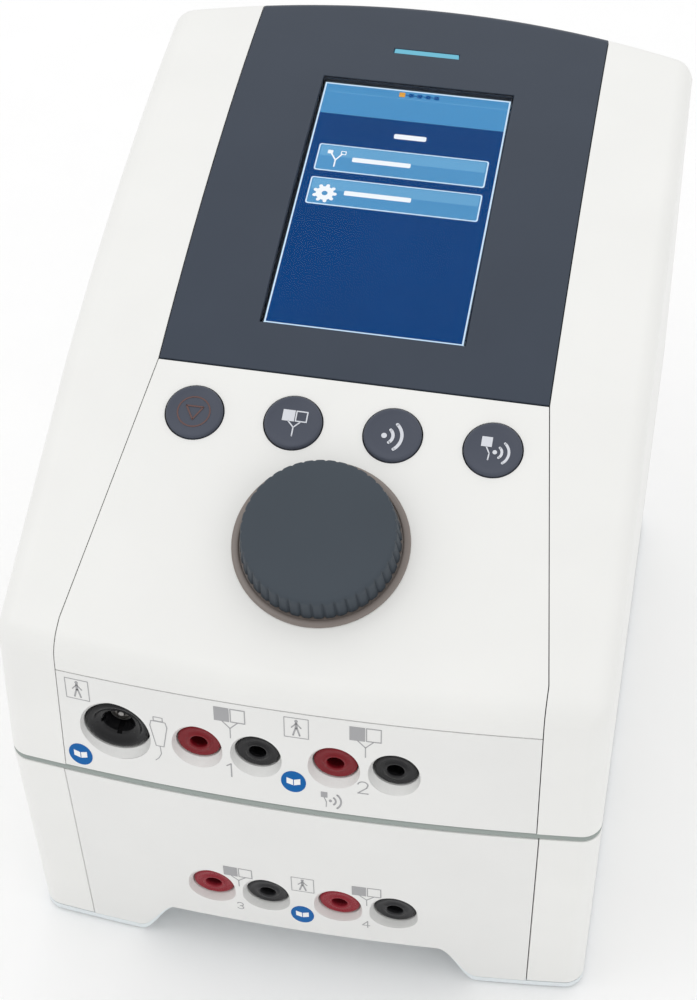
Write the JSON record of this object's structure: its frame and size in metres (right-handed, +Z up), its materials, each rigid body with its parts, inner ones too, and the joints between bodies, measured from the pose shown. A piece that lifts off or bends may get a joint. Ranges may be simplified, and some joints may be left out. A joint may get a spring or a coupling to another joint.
{
  "type": "ultrasound therapy device",
  "caption": "Bench-top physiotherapy console: sloping deck with dial, keys and colour screen, red and black lead jacks, ultrasound applicator socket, stacked base unit.",
  "frame": {"origin": "centre of the footprint, at the underside of the rubber feet", "axes": "+X operator's right, +Y towards the rear wall, +Z up; the operator stands at -Y"},
  "size_m": [0.1924, 0.272, 0.2246],
  "materials": {
    "white": "satin off-white moulded plastic",
    "tray": "satin pale grey moulded plastic",
    "slate": "satin slate grey moulded plastic",
    "trim": "satin warm grey plastic ring",
    "rubber": "matt grey-green rubber",
    "black": "semi-gloss black plastic",
    "red": "semi-gloss dark red plastic",
    "metal": "nickel-plated metal",
    "board": "green solder mask",
    "glass": "clear gloss window",
    "screen": "lit colour screen",
    "light": "lit translucent light bar"
  },
  "bodies": {
    "chassis": {"upper_housing": "white", "base_housing": "white", "base_front_panel": "white", "control_fascia": "white", "jack_panel": "white", "base_tray": "tray", "display_bezel": "slate", "dial_trim_ring": "trim", "seam_gasket": "rubber", "chassis_plate": "metal", "status_light_bar": "light", "display_window": "glass", "lcd_module": "screen", "applicator_socket": "black", "applicator_contacts": "metal", "encoder_body": "black", "key_board": "board", "main_board": "board", "ultrasound_board": "board", "output_board_upper": "board", "output_board_lower": "board", "power_supply": "metal", "mains_inlet": "black", "switch_stop": "black", "switch_electrotherapy": "black", "switch_ultrasound": "black", "switch_combination": "black", "foot_front_left": "rubber", "base_screw_front_left": "metal", "foot_front_right": "rubber", "base_screw_front_right": "metal", "foot_rear_left": "rubber", "base_screw_rear_left": "metal", "foot_rear_right": "rubber", "base_screw_rear_right": "metal", "jack_1_red": "red", "jack_pin_1_red": "metal", "jack_1_black": "black", "jack_pin_1_black": "metal", "jack_2_red": "red", "jack_pin_2_red": "metal", "jack_2_black": "black", "jack_pin_2_black": "metal", "jack_3_red": "red", "jack_pin_3_red": "metal", "jack_3_black": "black", "jack_pin_3_black": "metal", "jack_4_red": "red", "jack_pin_4_red": "metal", "jack_4_black": "black", "jack_pin_4_black": "metal"},
    "dial": {"dial_knob": "slate", "encoder_shaft": "metal"},
    "power_switch": {"power_rocker": "red"},
    "fuse_holder": {"fuse_drawer": "black"},
    "key_stop": {"button_stop": "slate"},
    "key_electrotherapy": {"button_electrotherapy": "slate"},
    "key_ultrasound": {"button_ultrasound": "slate"},
    "key_combination": {"button_combination": "slate"}
  },
  "joints": [
    {"name": "dial_turn", "type": "hinge", "parent": "chassis", "child": "dial", "pos_m": [0, -0.09094, 0.17454], "axis": [0, -0.373, 0.9278], "continuous": true},
    {"name": "press_stop", "type": "slide", "parent": "chassis", "child": "key_stop", "axis": [0, 0.373, -0.9278], "range_m": [0, 0.0008], "stiffness_N_per_m": 900, "springref_m": -0.0005},
    {"name": "press_electrotherapy", "type": "slide", "parent": "chassis", "child": "key_electrotherapy", "axis": [0, 0.373, -0.9278], "range_m": [0, 0.0008], "stiffness_N_per_m": 900, "springref_m": -0.0005},
    {"name": "press_ultrasound", "type": "slide", "parent": "chassis", "child": "key_ultrasound", "axis": [0, 0.373, -0.9278], "range_m": [0, 0.0008], "stiffness_N_per_m": 900, "springref_m": -0.0005},
    {"name": "press_combination", "type": "slide", "parent": "chassis", "child": "key_combination", "axis": [0, 0.373, -0.9278], "range_m": [0, 0.0008], "stiffness_N_per_m": 900, "springref_m": -0.0005},
    {"name": "power_rock", "type": "hinge", "parent": "chassis", "child": "power_switch", "pos_m": [-0.02, 0.131, 0.126], "axis": [1, 0, 0], "range_deg": [0, 16]},
    {"name": "fuse_slide", "type": "slide", "parent": "chassis", "child": "fuse_holder", "axis": [0, 1, 0], "range_m": [0, 0.016]}
  ]
}
